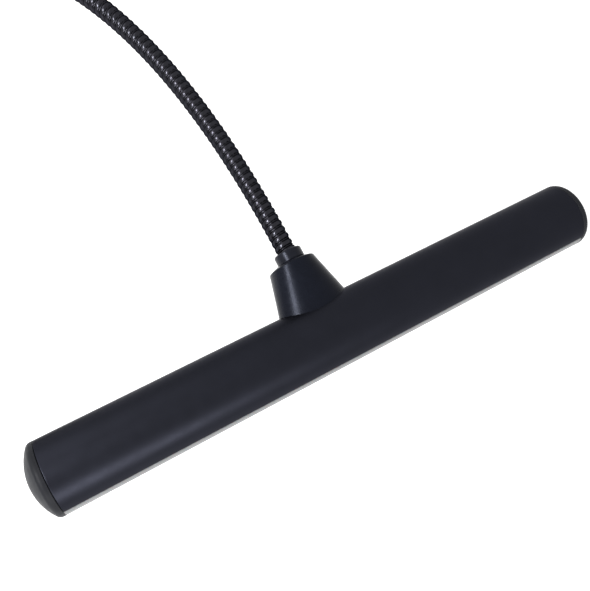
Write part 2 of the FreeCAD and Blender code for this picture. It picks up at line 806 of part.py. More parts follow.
def power_inlet():
    front = s.base_d / 2 + s.inlet_flange - s.inlet_len
    barrel = rod(s.inlet_d / 2, s.inlet_len, turn=ALONG_Y)
    flange = rod(s.inlet_flange_d / 2, s.inlet_flange, (0, s.inlet_len - s.inlet_flange, 0), ALONG_Y)
    bore = rod(s.inlet_bore_d / 2, s.inlet_bore_len, (0, s.inlet_len - s.inlet_bore_len, 0), ALONG_Y)
    pin_foot = s.inlet_len - s.inlet_bore_len - s.inlet_pin_root
    pin = rod(s.inlet_pin_d / 2, s.inlet_bore_len, (0, pin_foot, 0), ALONG_Y)
    node("power_jack", joined(cut(joined(barrel, flange), bore), pin), (0, front, s.inlet_z))
    half = s.inlet_nut_width / math.sqrt(3)
    inner = s.base_d / 2 - s.shell_wall
    back = root(inner * inner - half * half) - s.slide_fit
    nut = cut(hexagon(s.inlet_nut_width, s.inlet_nut_thick, turn=ALONG_Y),
              rod(s.inlet_d / 2 + s.thread_fit, s.inlet_nut_thick, turn=ALONG_Y))
    node("jack_nut", nut, (0, back - s.inlet_nut_thick, s.inlet_z))


def driver():
    low = s.pad_thick + s.plate_thick + s.weight_floor
    board_low = low + s.driver_post
    top = board_low + s.driver_thick
    board = block(s.driver_len, s.driver_width, s.driver_thick, (DRIVER_X, 0), board_low)
    node("driver_board", grouped(board))
    corner_x, corner_y = s.driver_len / 2 - s.post_inset, s.driver_width / 2 - s.post_inset
    posts = [rod(s.post_d / 2, s.driver_post, (DRIVER_X + i * corner_x, j * corner_y, low))
             for i in (-1, 1) for j in (-1, 1)]
    node("board_posts", grouped(*posts))
    coil = rod(s.coil_d / 2, s.coil_rise, (DRIVER_X - s.driver_len / 4, 0, top))
    chip = block(s.chip_side, s.chip_side, s.chip_rise, (DRIVER_X + s.chip_side, s.chip_side), top)
    cap = rod(s.chip_side / 2, s.coil_rise, (DRIVER_X + s.chip_side * 2, -s.chip_side, top))
    node("driver_parts", grouped(coil, chip, cap))


head_tube()
end_caps()
lens_bar()
light_strip()
collar()
collar_ring()
head_stud()
neck()
base_shell()
base_bottom()
neck_socket()
rocker_switch()
power_inlet()
driver()

doc.recompute()
for obj in doc.Objects:
    if "Invalid" in obj.State or "Error" in obj.State:
        raise RuntimeError(f"{obj.Name} ({obj.Label}) failed: {obj.State}")
for label, obj in nodes.items():
    if obj.Shape.isNull() or not obj.Shape.isValid():
        raise RuntimeError(f"{label} has no valid shape")

os.makedirs("parts", exist_ok=True)
for label, obj in nodes.items():
    obj.Shape.exportStep(f"parts/{label}.step")
    print(f"{label}: {len(obj.Shape.Solids)} solid(s), {obj.Shape.Volume:.1f} mm3")
print(f"{len(nodes)} nodes")
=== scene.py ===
import math

import bmesh
import bpy
from mathutils import Matrix, Vector

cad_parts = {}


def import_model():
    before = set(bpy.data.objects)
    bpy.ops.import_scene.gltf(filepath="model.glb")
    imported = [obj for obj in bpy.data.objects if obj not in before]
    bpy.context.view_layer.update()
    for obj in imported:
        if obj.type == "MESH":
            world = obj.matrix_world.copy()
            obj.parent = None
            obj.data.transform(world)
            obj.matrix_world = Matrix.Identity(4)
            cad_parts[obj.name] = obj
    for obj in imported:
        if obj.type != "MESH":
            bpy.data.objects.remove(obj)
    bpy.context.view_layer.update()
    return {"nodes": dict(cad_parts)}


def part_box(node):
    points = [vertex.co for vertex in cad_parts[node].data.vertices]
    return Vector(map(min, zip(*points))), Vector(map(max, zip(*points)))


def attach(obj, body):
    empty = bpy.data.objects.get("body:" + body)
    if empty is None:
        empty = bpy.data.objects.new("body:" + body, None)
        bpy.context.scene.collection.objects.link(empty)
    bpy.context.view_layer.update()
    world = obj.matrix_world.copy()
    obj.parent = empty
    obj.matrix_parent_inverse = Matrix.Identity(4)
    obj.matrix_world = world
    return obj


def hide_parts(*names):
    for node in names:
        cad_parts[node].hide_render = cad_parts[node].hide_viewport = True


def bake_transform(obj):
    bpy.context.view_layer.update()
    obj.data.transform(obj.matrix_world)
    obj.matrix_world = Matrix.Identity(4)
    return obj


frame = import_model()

MM = 0.001
PHOTO_WIDTH, PHOTO_HEIGHT = 590, 591

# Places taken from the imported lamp, in metres
tube_low, tube_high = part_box("head_tube")
TUBE_RADIUS = (tube_high.z - tube_low.z) / 2
TUBE_LENGTH = tube_high.x - tube_low.x
HEAD = Vector(((tube_low.x + tube_high.x) / 2, tube_high.y - TUBE_RADIUS, tube_high.z - TUBE_RADIUS))
CAP_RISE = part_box("end_cap_right")[1].x - tube_high.x
collar_low, collar_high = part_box("collar")
ring_low, ring_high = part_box("collar_ring")
shell_low, shell_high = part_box("base_shell")
socket_low, socket_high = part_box("neck_socket")
pad_low, pad_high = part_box("foot_pad")
bezel_low, bezel_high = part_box("switch_body")
jack_low, jack_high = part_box("power_jack")

# Head tube: its wall, the slot that the lens fills, and the caps. CAP_REACH is how much of the
# shoulder's radius its rounding takes from the dome.
TUBE_WALL = 1.5 * MM
SLOT_WIDTH = 25.0 * MM
SLOT_TURN = math.radians(154.5)
END_BEVEL = 0.5 * MM
END_STEPS = 5
TUBE_SIDES = 160
LIP_STEPS = 10
CAP_RIM = 2.6 * MM
CAP_CORNER = 2.5 * MM
CAP_REACH = 0.9
CAP_STEPS = 24
SEAM_BEVEL = 0.25 * MM

# Lens: it fills the slot and widens behind it. Its flat inner face is LENS_FACE from the tube's axis.
LENS_SINK = 0.05 * MM
LENS_SIDE_GAP = 0.2 * MM
LENS_SEAT_GAP = 0.1 * MM
LENS_FACE = 6.6 * MM
LENS_STEPS = 24

# Collar: a round crown that flares along the tube, and the ring on it. COLLAR_GUIDE is the short
# upright edge under the rounded shoulder, and COLLAR_SEAT how deep the underside's middle lies.
COLLAR_TOP_RADIUS = 11.45 * MM
COLLAR_ROOF = 1.6 * MM
COLLAR_ROOF_RADIUS = 7.2 * MM
COLLAR_EDGE = 0.6 * MM
COLLAR_BED = 0.1 * MM
COLLAR_GUIDE = 1 * MM
COLLAR_SEAT = 1 * MM
COLLAR_SIDES, COLLAR_ROWS = 192, 32
RING_EDGE = 0.8 * MM
RING_LIP = 0.3 * MM
RING_SINK = 1.2 * MM
RING_BORE_GAP = 0.1 * MM

# Neck: the curve of the solid links, with the wound hose's rib and wire along it. The middles and
# half widths are shares of one turn, and a power above 2 makes the ridge flatter than an ellipse.
NECK_RISE = 227.5 * MM
NECK_REACH = 288.0 * MM
JOINTS = 10
RIBS_PER_LINK = 14
CREST_RADIUS = 4.75 * MM
GROOVE_RADIUS = 4.1 * MM
WIRE_RADIUS = 4.5 * MM
RIB_MIDDLE, RIB_HALF_WIDTH, RIB_POWER = 0.36, 0.355, 2.6
WIRE_MIDDLE, WIRE_HALF_WIDTH, WIRE_POWER = 0.86, 0.09, 2.0
RINGS_PER_RIB = 20
HOSE_SIDES = 48
CURVE_STEPS = 800
neck_foot = Vector((0, 0, socket_high.z))
neck_end = Vector(((ring_low.x + ring_high.x) / 2, ring_high.y, HEAD.z))
NECK_POLES = [neck_foot, neck_foot + Vector((0, 0, NECK_RISE)),
              neck_end + Vector((0, NECK_REACH, 0)), neck_end]

# Base: the shell, the socket, the foot pad and the switch
SHELL_WALL = 2 * MM
SHELL_BEND = 7 * MM
SHELL_FOOT_EDGES = 0.6 * MM, 0.4 * MM
SWITCH_HOLE = Vector((6.5 * MM, 9.6 * MM))
JACK_HOLE = 4.1 * MM
JACK_CUT_IN, JACK_CUT_OUT = 10 * MM, 5 * MM
SOCKET_EDGE = 1.8 * MM
SOCKET_BORE_GAP = 0.15 * MM
SOCKET_LIP = 0.4 * MM
SOCKET_SINK = 1 * MM
PAD_EDGES = 0.5 * MM, 0.3 * MM
ROCKER_WELL = Vector((5.15 * MM, 8.3 * MM))
WELL_ABOVE, BEZEL_WELL, HOUSING_WELL = 5 * MM, 5 * MM, 7 * MM
BEZEL_EDGE = 0.5 * MM
HOUSING_HALF_X, HOUSING_HALF_Y = 6.4 * MM, 9.5 * MM
HOUSING_EDGE = 0.3 * MM

# Studio: how strongly the floor glows and the surround lights the lamp
FLOOR_GLOW = 0.45
FLOOR_GLOW_NEAR, FLOOR_GLOW_FAR = 0.5, 2.0
FLOOR_HALF = 6.0
WORLD_LIGHT = 0.15
LAMP_DISTANCE = 1.2

# Camera: the focal length in the photo's pixels, its place from the head, and its turns in degrees
FOCAL_PIXELS = 660
SENSOR_WIDTH = 36.0
CAMERA_PLACE = Vector((-96.85, -12.6, 290.5)) * MM
CAMERA_TURNS = 13.764, -11.578, -28.233

# Mesh: the merging distance, the sharpest smooth edge, and the arcs of rounded corners
MERGE_DISTANCE = 1e-6
SHARP_ANGLE = math.radians(32)
HOSE_SHARP_ANGLE = math.radians(60)
SUPPORT = 0.08 * MM
ARC_STEPS = 7
ROUND_SIDES, BASE_SIDES, SMALL_SIDES, CUT_SIDES = 128, 192, 96, 64

# Turns of a turned piece's own Z axis to +X, -X and +Y
X_AXIS = Matrix.Rotation(math.radians(90), 4, "Y")
LEFT_AXIS = Matrix.Rotation(math.radians(-90), 4, "Y")
Y_AXIS = Matrix.Rotation(math.radians(-90), 4, "X")


def linear(hex_colour):
    """An sRGB hex colour as the linear RGBA that the shaders use."""
    values = [int(hex_colour[i:i + 2], 16) / 255 for i in (1, 3, 5)]
    return [v / 12.92 if v <= 0.04045 else ((v + 0.055) / 1.055) ** 2.4 for v in values] + [1.0]


def add(tree, kind, links=None, **settings):
    """Add a node. links maps an input's name or number to a plain value or to another node's socket."""
    node = tree.nodes.new(kind)
    for name, value in settings.items():
        setattr(node, name, value)
    for key, value in (links or {}).items():
        if isinstance(value, bpy.types.NodeSocket):
            tree.links.new(value, node.inputs[key])
        else:
            node.inputs[key].default_value = value
    return node


def material(name, colour, **sockets):
    """A new material with its shader, whose plain values are set on the shader's own sockets."""
    mat = bpy.data.materials.new(name)
    mat.use_nodes = True
    tree = mat.node_tree
    tree.nodes.clear()
    shader = add(tree, "ShaderNodeBsdfPrincipled", {"Base Color": linear(colour)})
    for socket, value in sockets.items():
        shader.inputs[socket.replace("_", " ")].default_value = value
    add(tree, "ShaderNodeOutputMaterial", {"Surface": shader.outputs[0]})
    return mat, tree, shader


def noise(tree, size_mm, detail=2.0, roughness=0.5, stretch=(1, 1, 1)):
    """Noise on the object's own coordinates, with grains of about size_mm."""
    place = add(tree, "ShaderNodeTexCoord")
    scaled = add(tree, "ShaderNodeMapping", {"Vector": place.outputs["Object"], "Scale": stretch})
    return add(tree, "ShaderNodeTexNoise", {
        "Vector": scaled.outputs[0], "Scale": 1 / (size_mm * MM), "Detail": detail, "Roughness": roughness})


def vary_colour(tree, shader, low, high, grain):
    """Drift the base colour between two colours along a grain."""
    mix = add(tree, "ShaderNodeMix", {"Factor": grain.outputs[0]}, data_type="RGBA")
    mix.inputs[6].default_value = linear(low)
    mix.inputs[7].default_value = linear(high)
    tree.links.new(mix.outputs[2], shader.inputs["Base Color"])


def vary_roughness(tree, shader, low, high, grain):
    """Drift the roughness between two values along a grain, whose noise lies mostly from 0.3 to 0.7."""
    spread = add(tree, "ShaderNodeMapRange", {
        "Value": grain.outputs[0], "From Min": 0.3, "From Max": 0.7, "To Min": low, "To Max": high})
    tree.links.new(spread.outputs[0], shader.inputs["Roughness"])


def bump(tree, shader, grain, height_mm, strength=1.0):
    """Raise the surface along a grain, by up to height_mm."""
    relief = add(tree, "ShaderNodeBump", {
        "Height": grain.outputs[0], "Distance": height_mm * MM, "Strength": strength})
    tree.links.new(relief.outputs[0], shader.inputs["Normal"])


def anodised_aluminium():
    """Black anodised drawn aluminium: satin, blue-black, finely blasted, with a faint cloudiness."""
    mat, tree, shader = material("black anodised aluminium", "#24252b", Metallic=1.0, Roughness=0.40,
                                 Specular_Tint=linear("#ccccce"))
    clouds = noise(tree, 14, 3)
    vary_colour(tree, shader, "#222329", "#26272e", clouds)
    vary_roughness(tree, shader, 0.37, 0.43, noise(tree, 5, 4))
    # blasting grit of about 0.1 mm, drawn at 0.35 mm so that it shows
    bump(tree, shader, noise(tree, 0.35, 3, 0.6), 0.004)
    return mat


def moulded_plastic(name, colour, pale, roughness, grain_mm, sheen="#ffffff"):
    """Plastic from a spark-eroded mould: matte, with a fine even grain. sheen tints what it reflects."""
    mat, tree, shader = material(name, colour, Roughness=roughness, Specular_IOR_Level=0.15,
                                 Specular_Tint=linear(sheen))
    vary_colour(tree, shader, colour, pale, noise(tree, 6, 3))
    vary_roughness(tree, shader, roughness - 0.04, roughness + 0.05, noise(tree, 3, 3))
    bump(tree, shader, noise(tree, grain_mm, 3, 0.55), 0.006)
    return mat


def black_plated_steel():
    """Black chrome on wound steel strip and wire: glossy, nearly black, with small sharp highlights."""
    mat, tree, shader = material("black chrome plated steel", "#303036", Metallic=1.0, Roughness=0.18,
                                 Specular_Tint=linear("#8a8d90"))
    vary_colour(tree, shader, "#2c2c31", "#343439", noise(tree, 2.5, 3))
    vary_roughness(tree, shader, 0.16, 0.21, noise(tree, 1.2, 3))
    return mat


def satin_lacquer(name, colour, pale):
    """Satin black lacquer on turned metal: smooth, with a soft bright edge."""
    mat, tree, shader = material(name, colour, Roughness=0.26, Specular_IOR_Level=0.2,
                                 Specular_Tint=linear("#ccd2e8"))
    vary_colour(tree, shader, colour, pale, noise(tree, 4, 2))
    vary_roughness(tree, shader, 0.25, 0.31, noise(tree, 2, 3))
    bump(tree, shader, noise(tree, 0.4, 2), 0.002)
    return mat


def powder_coat():
    """Black powder coat on steel: satin with the shallow dimples of orange peel."""
    mat, tree, shader = material("black powder coated steel", "#131418", Roughness=0.40,
                                 Specular_IOR_Level=0.2)
    vary_colour(tree, shader, "#111216", "#16171b", noise(tree, 9, 3))
    vary_roughness(tree, shader, 0.36, 0.44, noise(tree, 4, 3))
    # peel dimples of about 1 mm
    bump(tree, shader, noise(tree, 1.1, 2, 0.4), 0.012)
    return mat


def opal_acrylic_painted_shade():
    """Opal acrylic with its light off: one even grey right through, smooth outside. The grey is painted
    shade, darker than the real acrylic.
    """
    # the grey base colour is painted shade for the lens's thin shaded line
    mat, tree, shader = material("opal acrylic in painted shade", "#888a8b", Roughness=0.3, IOR=1.49, Specular_IOR_Level=0.08,
                                 Subsurface_Weight=0.1, Subsurface_Scale=0.002)
    vary_colour(tree, shader, "#858687", "#8b8c8d", noise(tree, 12, 2))
    return mat


def foam_rubber():
    """Closed-cell foam rubber: dull black skin with small open cells."""
    mat, tree, shader = material("black foam rubber", "#17171a", Roughness=0.85, Specular_IOR_Level=0.25)
    cells = add(tree, "ShaderNodeTexVoronoi", {
        "Vector": add(tree, "ShaderNodeTexCoord").outputs["Object"], "Scale": 1 / (0.8 * MM)})
    vary_colour(tree, shader, "#121214", "#1d1d20", noise(tree, 1.5, 3))
    bump(tree, shader, cells, 0.05, 0.6)
    return mat


def bare_metal(name, colour, pale, roughness, lines_mm, stretch=(1, 1, 1)):
    """Bare or thinly plated metal with the fine marks of how it was worked."""
    mat, tree, shader = material(name, colour, Metallic=1.0, Roughness=roughness)
    marks = noise(tree, lines_mm, 3, 0.6, stretch)
    vary_colour(tree, shader, colour, pale, noise(tree, lines_mm * 6, 2))
    vary_roughness(tree, shader, roughness - 0.05, roughness + 0.08, marks)
    bump(tree, shader, marks, 0.004)
    return mat


def board_laminate(name, colour, pale):
    """Glass laminate with solder mask: smooth and semi-gloss, with the weave just showing."""
    mat, tree, shader = material(name, colour, Roughness=0.4)
    vary_colour(tree, shader, colour, pale, noise(tree, 1.5, 2))
    bump(tree, shader, noise(tree, 0.6, 1), 0.003)
    return mat


def make_materials():
    """One finish for each material slot of the lamp."""
    return {
        "tube_anodised": anodised_aluminium(),
        "cap_plastic": moulded_plastic("moulded black ABS cap", "#15161a", "#1b1c21", 0.50, 0.5),
        "collar_plastic": moulded_plastic(
            "moulded black ABS collar", "#0c0e14", "#12141c", 0.27, 0.4, "#c6cce2"),
        "ring_steel": satin_lacquer("satin black lacquered steel ring", "#14151a", "#1b1c22"),
        "neck_steel": black_plated_steel(),
        "base_paint": powder_coat(),
        "socket_paint": satin_lacquer("satin black lacquered socket", "#131418", "#191a1f"),
        "lens_acrylic": opal_acrylic_painted_shade(),
        "pad_foam": foam_rubber(),
        "switch_plastic": moulded_plastic("moulded black nylon bezel", "#141416", "#1a1a1d", 0.42, 0.5),
        "rocker_plastic": moulded_plastic("polished black nylon rocker", "#101012", "#151517", 0.24, 0.9),
        "jack_plastic": moulded_plastic("moulded black PBT inlet", "#131315", "#19191c", 0.45, 0.5),
        "connector_plastic": moulded_plastic("natural nylon connector", "#d9d5c6", "#e4e0d2", 0.45, 0.6),
        "post_plastic": moulded_plastic("natural nylon post", "#cfcbbd", "#dbd7c9", 0.5, 0.6),
        "contact_brass": bare_metal("tinned brass", "#b9a06a", "#cdbb8c", 0.30, 0.8),
        "bar_aluminium": bare_metal("milled aluminium", "#b5b7ba", "#c6c8ca", 0.34, 0.5, (0.05, 1, 1)),
        "stud_steel": bare_metal("zinc plated steel", "#aeb1b3", "#c2c4c4", 0.32, 0.6),
        "screw_steel": bare_metal("zinc plated screw steel", "#a7aaad", "#bcbfc0", 0.30, 0.5),
        "plate_steel": bare_metal("galvanised sheet steel", "#8f9295", "#a9acae", 0.42, 3),
        "weight_iron": bare_metal("grey cast iron", "#3c3c3d", "#4c4b4a", 0.62, 1.2),
        "board_laminate": board_laminate("green glass laminate", "#1d5a36", "#256a42"),
        "strip_laminate": board_laminate("white masked aluminium laminate", "#e6e7e4", "#f0f0ee"),
        "driver_parts": moulded_plastic("epoxy moulded parts", "#1a1a1c", "#262628", 0.5, 0.5),
        "led_package": moulded_plastic("phosphor filled silicone", "#e9cf62", "#f0da7c", 0.35, 0.5),
    }


def mesh_object(name, points, faces, finish):
    """A linked mesh object at the origin, smooth apart from its sharp edges."""
    mesh = bpy.data.meshes.new(name)
    mesh.from_pydata([tuple(p) for p in points], [], faces)
    obj = bpy.data.objects.new(name, mesh)
    bpy.context.scene.collection.objects.link(obj)
    tidy(obj)
    mesh.materials.append(FINISH[finish])
    return obj


def tidy(obj):
    """Merge doubles, turn the faces outwards and shade smooth between sharp edges."""
    mesh = obj.data
    shape = bmesh.new()
    shape.from_mesh(mesh)
    bmesh.ops.remove_doubles(shape, verts=shape.verts, dist=MERGE_DISTANCE)
    bmesh.ops.recalc_face_normals(shape, faces=shape.faces)
    shape.to_mesh(mesh)
    shape.free()
    mesh.polygons.foreach_set("use_smooth", [True] * len(mesh.polygons))
    mesh.set_sharp_from_angle(angle=SHARP_ANGLE)


def rounded(corners):
    """Points of an outline whose corners (x, y, radius) are rounded with short arcs."""
    points = []
    count = len(corners)
    for i, (x, y, radius) in enumerate(corners):
        here = Vector((x, y))
        if radius == 0 or i in (0, count - 1):
            points.append(here)
            continue
        before = Vector(corners[i - 1][:2]) - here
        after = Vector(corners[i + 1][:2]) - here
        half = before.angle(after) / 2
        reach = radius / math.tan(half)
        middle = here + (before.normalized() + after.normalized()).normalized() * (radius / math.sin(half))
        start = here + before.normalized() * reach
        end = here + after.normalized() * reach
        sweep = (start - middle).angle_signed(end - middle)
        points.append(start + before.normalized() * SUPPORT)
        for step in range(ARC_STEPS + 1):
            turn = Matrix.Rotation(-sweep * step / ARC_STEPS, 2)
            points.append(middle + turn @ (start - middle))
        points.append(end + after.normalized() * SUPPORT)
    return points


def turned(name, outline, place, finish, segments=ROUND_SIDES):
    """A solid turned about its own Z axis from an outline of (radius, height) that starts and ends on it."""
    points, faces = [], []
    rows = []
    for radius, height in outline:
        if radius < MERGE_DISTANCE:
            rows.append([len(points)] * segments)
            points.append(place @ Vector((0, 0, height)))
            continue
        rows.append([len(points) + i for i in range(segments)])
        for i in range(segments):
            angle = math.tau * i / segments
            points.append(place @ Vector((radius * math.cos(angle), radius * math.sin(angle), height)))
    for low, high in zip(rows, rows[1:]):
        for i in range(segments):
            j = (i + 1) % segments
            corners = [low[i], low[j], high[j], high[i]]
            faces.append(list(dict.fromkeys(corners)))
    return mesh_object(name, points, faces, finish)


def tube_section(inset):
    """The tube's cross-section as (y, z) points about its axis, with rounded lips at the slot."""
    outer, inner = TUBE_RADIUS - inset, TUBE_RADIUS - TUBE_WALL
    half_slot = math.asin(SLOT_WIDTH / 2 / TUBE_RADIUS)
    lip = (outer - inner) / 2
    middle = (outer + inner) / 2
    lip_turn = lip / middle
    # angles run from the slot's middle, all the way round
    start, end = half_slot + lip_turn, math.tau - half_slot - lip_turn
    slot_at = -SLOT_TURN
    points = []

    def spot(radius, angle):
        return Vector((radius * math.cos(slot_at + angle), radius * math.sin(slot_at + angle)))

    for i in range(TUBE_SIDES + 1):
        points.append(spot(outer, start + (end - start) * i / TUBE_SIDES))
    points += lip_arc(spot(middle, end), spot(outer, end), LIP_STEPS)
    for i in range(TUBE_SIDES + 1):
        points.append(spot(inner, end + (start - end) * i / TUBE_SIDES))
    points += lip_arc(spot(middle, start), spot(inner, start), LIP_STEPS)
    return points


def lip_arc(middle, start, steps):
    """The inner points of a half circle about middle, going on from start."""
    return [middle + Matrix.Rotation(math.pi * i / steps, 2) @ (start - middle) for i in range(1, steps)]


def extruded(name, sections, finish):
    """A solid through closed sections, each (x, [(y, z), ...]) about the head's axis."""
    points, faces = [], []
    count = len(sections[0][1])
    for x, section in sections:
        for y, z in section:
            points.append(Vector((HEAD.x + x, HEAD.y + y, HEAD.z + z)))
    for row in range(len(sections) - 1):
        for i in range(count):
            j = (i + 1) % count
            faces.append([row * count + i, row * count + j, (row + 1) * count + j, (row + 1) * count + i])
    faces.append(list(range(count)))
    faces.append([(len(sections) - 1) * count + i for i in reversed(range(count))])
    return mesh_object(name, points, faces, finish)


def head_tube():
    """The drawn tube with its slot, its ends softened."""
    half = TUBE_LENGTH / 2
    rows = []
    for i in range(END_STEPS + 1):
        angle = math.pi / 2 * i / END_STEPS
        rows.append((-half + END_BEVEL * (1 - math.cos(angle)), END_BEVEL * (1 - math.sin(angle))))
    rows.append((-half + END_BEVEL + SUPPORT, 0))
    rows += [(-x, inset) for x, inset in reversed(rows)]
    tube = extruded("head_tube_shell", [(x, tube_section(inset)) for x, inset in rows], "tube_anodised")
    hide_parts("head_tube")
    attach(tube, "head")


def end_caps():
    """Domed caps with a rounded shoulder, and a fine bevel at the seam."""
    radius, rise, rim = TUBE_RADIUS, CAP_RISE, CAP_RIM
    dome = (radius ** 2 + (rise - rim) ** 2) / (2 * (rise - rim))
    edge = math.asin(radius / dome)
    arc = []
    for i in range(CAP_STEPS + 1):
        angle = edge * (1 - i / CAP_STEPS)
        arc.append((dome * math.sin(angle), rise - dome + dome * math.cos(angle), 0))
    shoulder = (radius, rim, CAP_CORNER)
    # the dome starts where the rounding of the shoulder has ended
    crown = [p for p in arc if radius - p[0] > CAP_CORNER * CAP_REACH]
    outline = rounded([(0, 0, 0), (radius, 0, SEAM_BEVEL), shoulder] + crown)
    for label, side, axis in (("right", 1, X_AXIS), ("left", -1, LEFT_AXIS)):
        place = Matrix.Translation((HEAD.x + side * TUBE_LENGTH / 2, HEAD.y, HEAD.z)) @ axis
        cap = turned(f"end_cap_{label}_dome", outline, place, "cap_plastic")
        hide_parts(f"end_cap_{label}")
        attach(cap, "head")


def collar_cone():
    """A collar that flares along the tube and saddles on it, with a low roof round the ring."""
    middle_x = (collar_low.x + collar_high.x) / 2
    crown, top = COLLAR_TOP_RADIUS, collar_high.y - HEAD.y
    shoulder = top - COLLAR_ROOF
    flare = ((collar_high.x - collar_low.x) / 2 - crown) / (shoulder - TUBE_RADIUS)
    roof = [tuple(p) for p in rounded([(0, shoulder - COLLAR_GUIDE, 0), (0, shoulder, COLLAR_EDGE),
                                       (COLLAR_ROOF_RADIUS - crown, top, 0)])[1:]]
    segments, rows = COLLAR_SIDES, COLLAR_ROWS
    points, faces = [], []
    for i in range(segments):
        angle = math.tau * i / segments
        cosine, sine = math.cos(angle), math.sin(angle)
        foot = math.sqrt(TUBE_RADIUS ** 2 - (crown * sine) ** 2) - COLLAR_BED
        start = roof[0][1]
        column = [(0.0, foot + (start - foot) * (row / rows)) for row in range(rows)] + roof
        for inset, y in column:
            reach = crown + flare * (shoulder - min(y, shoulder)) + inset
            depth = crown + inset
            points.append(Vector((middle_x + reach * cosine, HEAD.y + y, HEAD.z + depth * sine)))
    count = rows + len(roof)
    for i in range(segments):
        j = (i + 1) % segments
        for row in range(count - 1):
            faces.append([i * count + row, j * count + row, j * count + row + 1, i * count + row + 1])
    points.append(Vector((middle_x, collar_high.y, HEAD.z)))
    points.append(Vector((middle_x, HEAD.y + TUBE_RADIUS - COLLAR_SEAT, HEAD.z)))
    for i in range(segments):
        j = (i + 1) % segments
        faces.append([i * count + count - 1, j * count + count - 1, len(points) - 2])
        faces.append([j * count, i * count, len(points) - 1])
    cone = mesh_object("collar_cone", points, faces, "collar_plastic")
    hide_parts("collar")
    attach(cone, "head")


def collar_ring():
    """The small turned ring that the hose passes through."""
    radius = (ring_high.x - ring_low.x) / 2
    rise = ring_high.y - ring_low.y
    bore = CREST_RADIUS + RING_BORE_GAP
    outline = rounded([(0, 0, 0), (radius, 0, RING_LIP), (radius, rise, RING_EDGE), (bore, rise, RING_LIP),
                       (bore, rise - RING_SINK, 0), (0, rise - RING_SINK, 0)])
    place = Matrix.Translation(((ring_low.x + ring_high.x) / 2, ring_low.y, HEAD.z)) @ Y_AXIS
    ring = turned("collar_ring_turned", outline, place, "ring_steel", SMALL_SIDES)
    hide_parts("collar_ring")
    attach(ring, "head")


def lens():
    """The opal bar that fills the slot, its face just under the tube's surface."""
    outer = TUBE_RADIUS - LENS_SINK
    half = SLOT_WIDTH / 2 - LENS_SIDE_GAP
    edge = math.asin(half / outer)
    inner = TUBE_RADIUS - TUBE_WALL - LENS_SEAT_GAP
    section = []
    for i in range(LENS_STEPS + 1):
        angle = -edge + 2 * edge * i / LENS_STEPS
        section.append((outer * math.sin(angle), -outer * math.cos(angle)))
    shoulder = math.sqrt(inner ** 2 - half ** 2)
    seat = math.sqrt(inner ** 2 - LENS_FACE ** 2)
    section += [(half, -shoulder), (seat, -LENS_FACE), (-seat, -LENS_FACE), (-half, -shoulder)]
    turn = Matrix.Rotation(math.pi / 2 - SLOT_TURN, 2)
    section = [turn @ Vector(p) for p in section]
    half_length = TUBE_LENGTH / 2
    bar = extruded("slot_lens_bar", [(-half_length, section), (half_length, section)], "lens_acrylic")
    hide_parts("slot_lens")
    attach(bar, "head")


